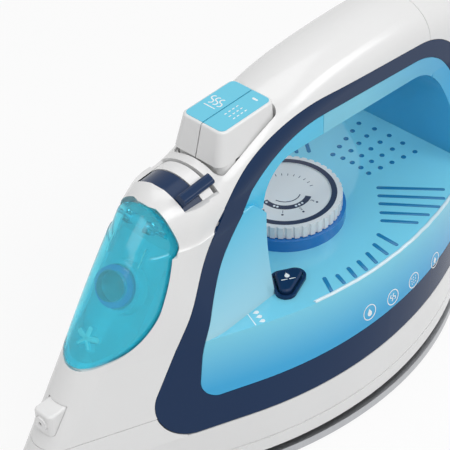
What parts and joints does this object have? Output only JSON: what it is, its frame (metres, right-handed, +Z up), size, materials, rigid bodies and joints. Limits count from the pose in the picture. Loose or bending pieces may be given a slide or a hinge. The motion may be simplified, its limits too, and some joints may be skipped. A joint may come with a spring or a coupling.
{
  "type": "clothes iron",
  "caption": "Steam clothes iron with a see-through water tank, hooped handle, push buttons, steam lever, filler door, temperature dial and flat metal sole.",
  "frame": {"origin": "on the ground below the middle of the iron's box, standing on its sole", "axes": "+X towards the heel, +Y towards the iron's right side, +Z up from the sole"},
  "size_m": [0.2703, 0.115, 0.141],
  "materials": {
    "white_plastic": "gloss moulded",
    "navy_plastic": "gloss moulded",
    "cyan_clear_plastic": "clear tinted",
    "blue_plastic": "satin moulded",
    "black_plastic": "matt moulded",
    "sole_aluminium": "satin",
    "steel": "bright drawn",
    "brass": "turned",
    "ceramic": "matt",
    "rubber": "matt"
  },
  "bodies": {
    "iron": {"chamber_cover": "sole_aluminium", "chamber_gasket": "rubber", "cord_gland": "black_plastic", "cover_screws": "steel", "dial_base": "blue_plastic", "door_hinge_pin": "steel", "filler_neck": "white_plastic", "front_housing": "white_plastic", "heat_shield": "black_plastic", "heating_element": "steel", "lever_collar": "white_plastic", "liner_front": "cyan_clear_plastic", "liner_rear": "cyan_clear_plastic", "nozzle_body": "white_plastic", "nozzle_tip": "white_plastic", "rear_housing": "white_plastic", "skirt": "white_plastic", "soleplate": "sole_aluminium", "spray_pump": "black_plastic", "spray_spring": "steel", "steam_pump": "black_plastic", "steam_spring": "steel", "tank_floor": "cyan_clear_plastic", "tank_shell": "cyan_clear_plastic", "terminal_block": "black_plastic", "thermal_fuse": "ceramic", "thermostat": "steel", "trim_left": "navy_plastic", "trim_right": "navy_plastic", "valve_seat": "brass"},
    "dial": {"temperature_dial": "white_plastic", "dial_shaft": "black_plastic"},
    "lever": {"steam_lever": "navy_plastic"},
    "valve": {"valve_rod": "steel"},
    "door": {"fill_door": "cyan_clear_plastic", "door_plug": "rubber"},
    "steam_push": {"steam_button": "white_plastic", "steam_inlay": "blue_plastic", "steam_piston": "black_plastic"},
    "spray_push": {"spray_button": "white_plastic", "spray_inlay": "blue_plastic", "spray_piston": "black_plastic"},
    "clean_push": {"self_clean_button": "navy_plastic", "self_clean_rod": "black_plastic"}
  },
  "joints": [
    {"name": "dial_turn", "type": "hinge", "parent": "iron", "child": "dial", "pos_m": [0.015, 0, 0.0715], "axis": [0, 0, 1], "range_deg": [0, 270]},
    {"name": "lever_turn", "type": "hinge", "parent": "iron", "child": "lever", "pos_m": [-0.0493, 0, 0.1044], "axis": [-0.9986, 0, -0.0523], "range_deg": [0, 66]},
    {"name": "valve_lift", "type": "slide", "parent": "iron", "child": "valve", "axis": [0, 0, 1], "range_m": [0, 0.0015]},
    {"name": "door_open", "type": "hinge", "parent": "iron", "child": "door", "pos_m": [-0.06387, 0, 0.11049], "axis": [0, 1, 0], "range_deg": [0, 70]},
    {"name": "steam_press", "type": "slide", "parent": "iron", "child": "steam_push", "axis": [0, 0, -1], "range_m": [0, 0.004], "stiffness_N_per_m": 300, "springref_m": -0.004, "deforming": ["steam_spring"]},
    {"name": "spray_press", "type": "slide", "parent": "iron", "child": "spray_push", "axis": [0, 0, -1], "range_m": [0, 0.004], "stiffness_N_per_m": 300, "springref_m": -0.004, "deforming": ["spray_spring"]},
    {"name": "clean_press", "type": "slide", "parent": "iron", "child": "clean_push", "axis": [0, 0, -1], "range_m": [0, 0.003], "stiffness_N_per_m": 300, "springref_m": -0.003}
  ],
  "couplings": [
    {"joint": "lever_turn", "follows": "valve_lift", "rad_per_m": 767.18}
  ]
}
